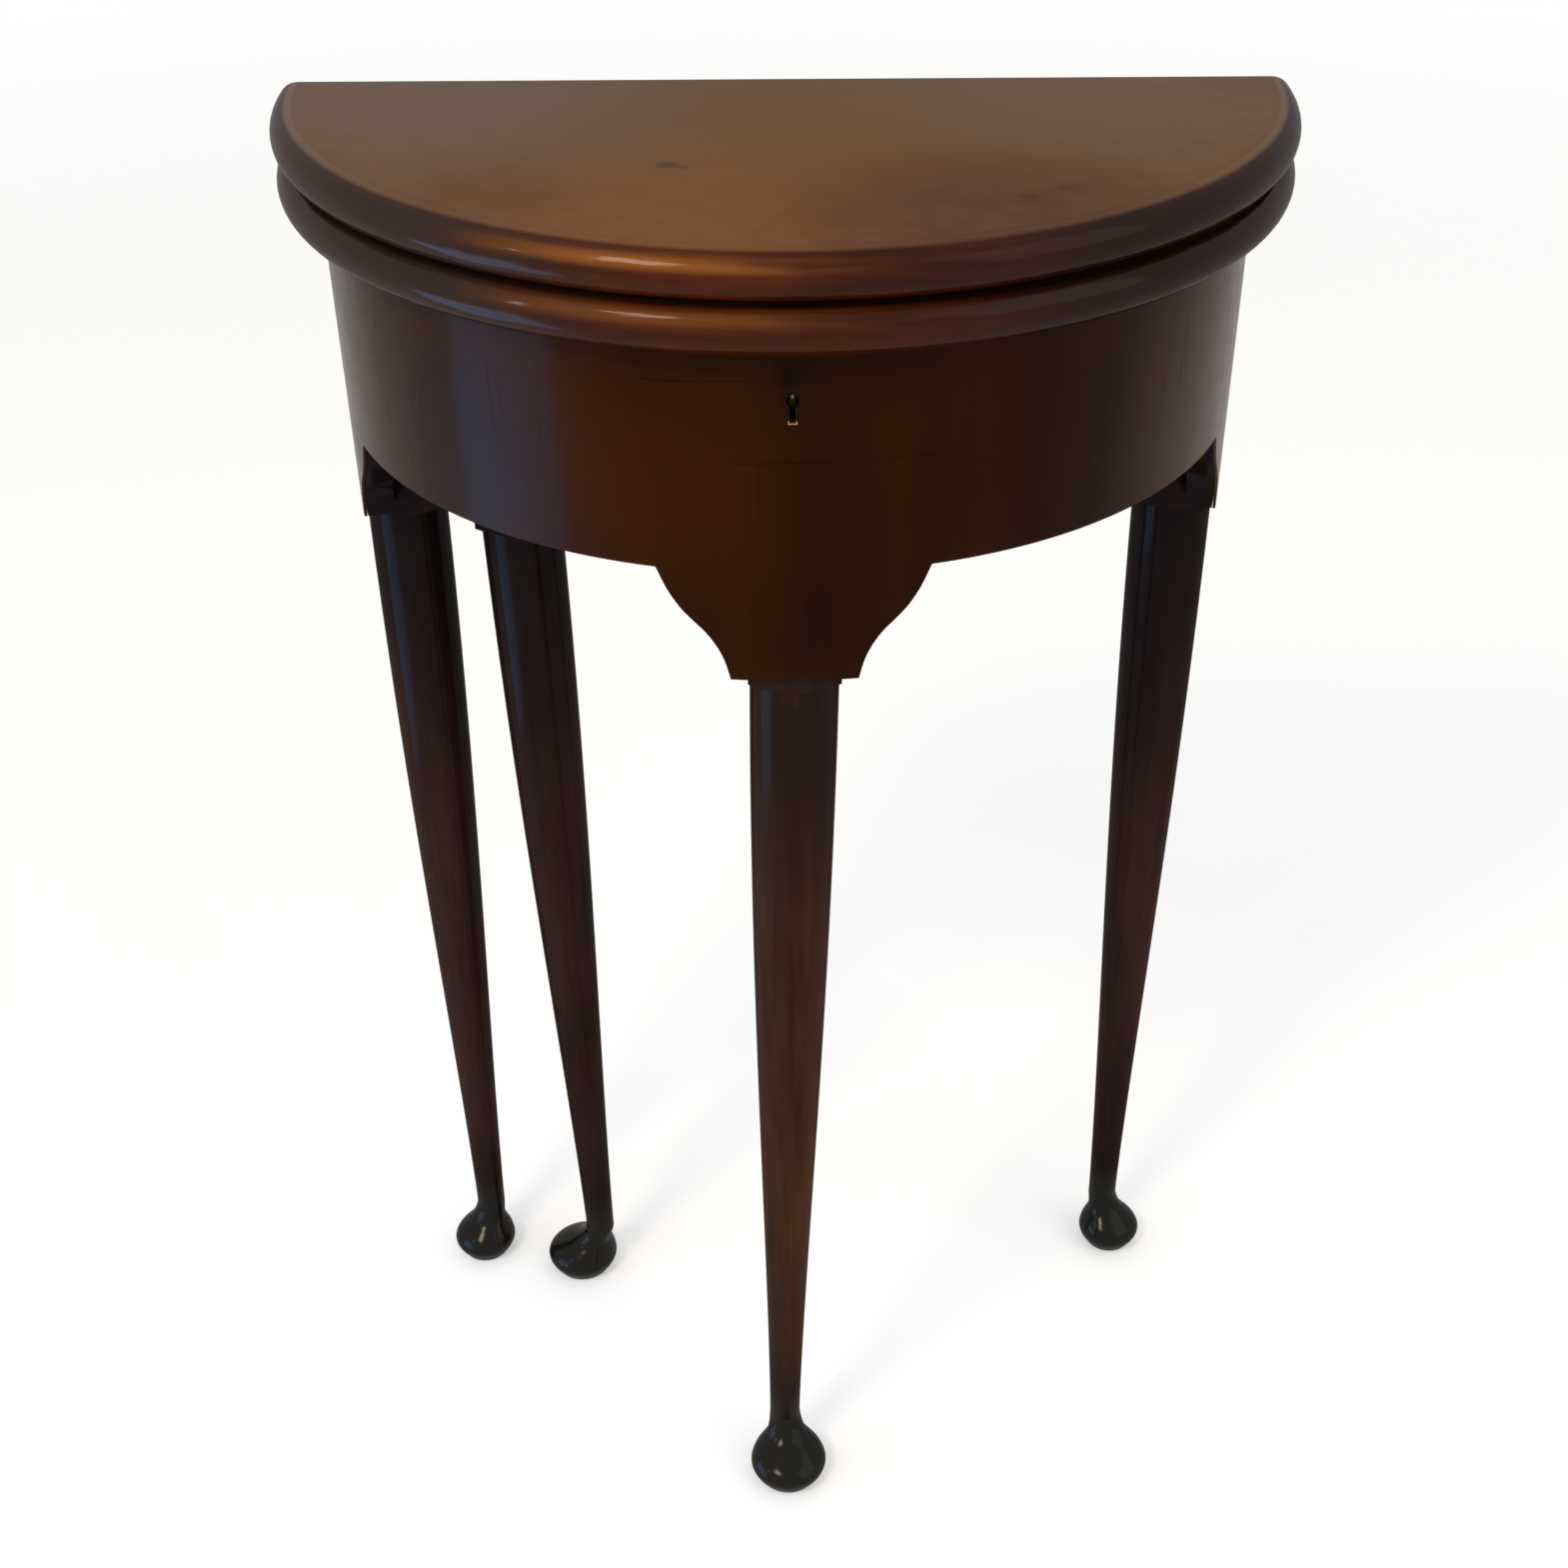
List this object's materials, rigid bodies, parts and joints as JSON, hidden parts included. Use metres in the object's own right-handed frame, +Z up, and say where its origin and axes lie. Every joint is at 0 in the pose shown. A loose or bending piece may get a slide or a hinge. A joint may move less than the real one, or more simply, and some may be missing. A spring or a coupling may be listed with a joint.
{
  "type": "fold-over tea table",
  "caption": "Half-round fold-over tea table: the upper leaf folds back onto a gate leg to make a round top, the lower leaf lifts over a locked well, ogee frieze drops, turned legs on pad feet.",
  "frame": {"origin": "on the floor, under the middle of the table's bounds with the upper leaf folded and the gate closed", "axes": "+X to the right as seen from the curved front, +Y to the straight back edge, +Z up"},
  "size_m": [0.484, 0.2461, 0.747],
  "materials": {
    "mahogany_top": "worn wax polish on figured mahogany",
    "mahogany_frieze": "polished dark mahogany veneer",
    "mahogany_leg": "polished, nearly black mahogany",
    "mahogany_rail": "planed, oiled",
    "deal": "planed, unfinished",
    "brass": "aged brass",
    "iron": "dull iron"
  },
  "bodies": {
    "frame": {"frieze_rail_left": "deal", "frieze_rail_right": "deal", "frieze_veneer": "mahogany_frieze", "front_ear_left": "mahogany_frieze", "front_ear_right": "mahogany_frieze", "rear_ear_left": "mahogany_frieze", "rear_ear_right": "mahogany_frieze", "front_leg": "mahogany_leg", "rear_leg_left": "mahogany_leg", "rear_leg_right": "mahogany_leg", "hinge_rail": "mahogany_rail", "inner_back_rail": "deal", "rail_screw_1": "iron", "rail_screw_2": "iron", "knuckle_pin": "iron", "well_board": "deal", "keyhole_lining": "brass", "lock_case": "brass", "lock_key_pin": "iron", "lock_screw_1": "brass", "lock_screw_2": "brass", "lid_hinge_frame_plate_1": "brass", "lid_hinge_frame_plate_2": "brass", "lid_hinge_frame_screw_1": "brass", "lid_hinge_frame_screw_2": "brass", "lid_hinge_frame_screw_3": "brass", "lid_hinge_frame_screw_4": "brass", "lid_hinge_pin_1": "brass", "lid_hinge_pin_2": "brass"},
    "lid": {"lower_leaf": "mahogany_top", "lid_hinge_lid_plate_1": "brass", "lid_hinge_lid_plate_2": "brass", "lid_hinge_lid_screw_1": "brass", "lid_hinge_lid_screw_2": "brass", "lid_hinge_lid_screw_3": "brass", "lid_hinge_lid_screw_4": "brass", "leaf_hinge_lower_plate_1": "brass", "leaf_hinge_lower_plate_2": "brass", "leaf_hinge_lower_screw_1": "brass", "leaf_hinge_lower_screw_2": "brass", "leaf_hinge_lower_screw_3": "brass", "leaf_hinge_lower_screw_4": "brass", "leaf_hinge_pin_1": "brass", "leaf_hinge_pin_2": "brass", "link_plate": "brass", "link_plate_screw_1": "brass", "link_plate_screw_2": "brass"},
    "folding_leaf": {"upper_leaf": "mahogany_top", "leaf_hinge_upper_plate_1": "brass", "leaf_hinge_upper_plate_2": "brass", "leaf_hinge_upper_screw_1": "brass", "leaf_hinge_upper_screw_2": "brass", "leaf_hinge_upper_screw_3": "brass", "leaf_hinge_upper_screw_4": "brass"},
    "gate": {"gate_leg": "mahogany_leg", "fly_rail": "mahogany_rail", "tenon_peg_1": "deal", "tenon_peg_2": "deal"},
    "bolt": {"lock_bolt": "iron"},
    "tumbler": {"lock_tumbler": "iron"}
  },
  "joints": [
    {"name": "lid_lift", "type": "hinge", "parent": "frame", "child": "lid", "pos_m": [0, 0.1206, 0.7009], "axis": [1, 0, 0], "range_deg": [-90, 0]},
    {"name": "leaf_fold", "type": "hinge", "parent": "lid", "child": "folding_leaf", "pos_m": [0, 0.1192, 0.7253], "axis": [-1, 0, 0], "range_deg": [0, 180]},
    {"name": "gate_swing", "type": "hinge", "parent": "frame", "child": "gate", "pos_m": [0.05, 0.0837, 0.6541], "axis": [0, 0, -1], "range_deg": [0, 90]},
    {"name": "bolt_throw", "type": "slide", "parent": "frame", "child": "bolt", "axis": [-1, 0, 0], "range_m": [0, 0.0048]},
    {"name": "tumbler_lift", "type": "hinge", "parent": "frame", "child": "tumbler", "pos_m": [0.0095, -0.0923, 0.6848], "axis": [0, 1, 0], "range_deg": [0, 8]}
  ]
}
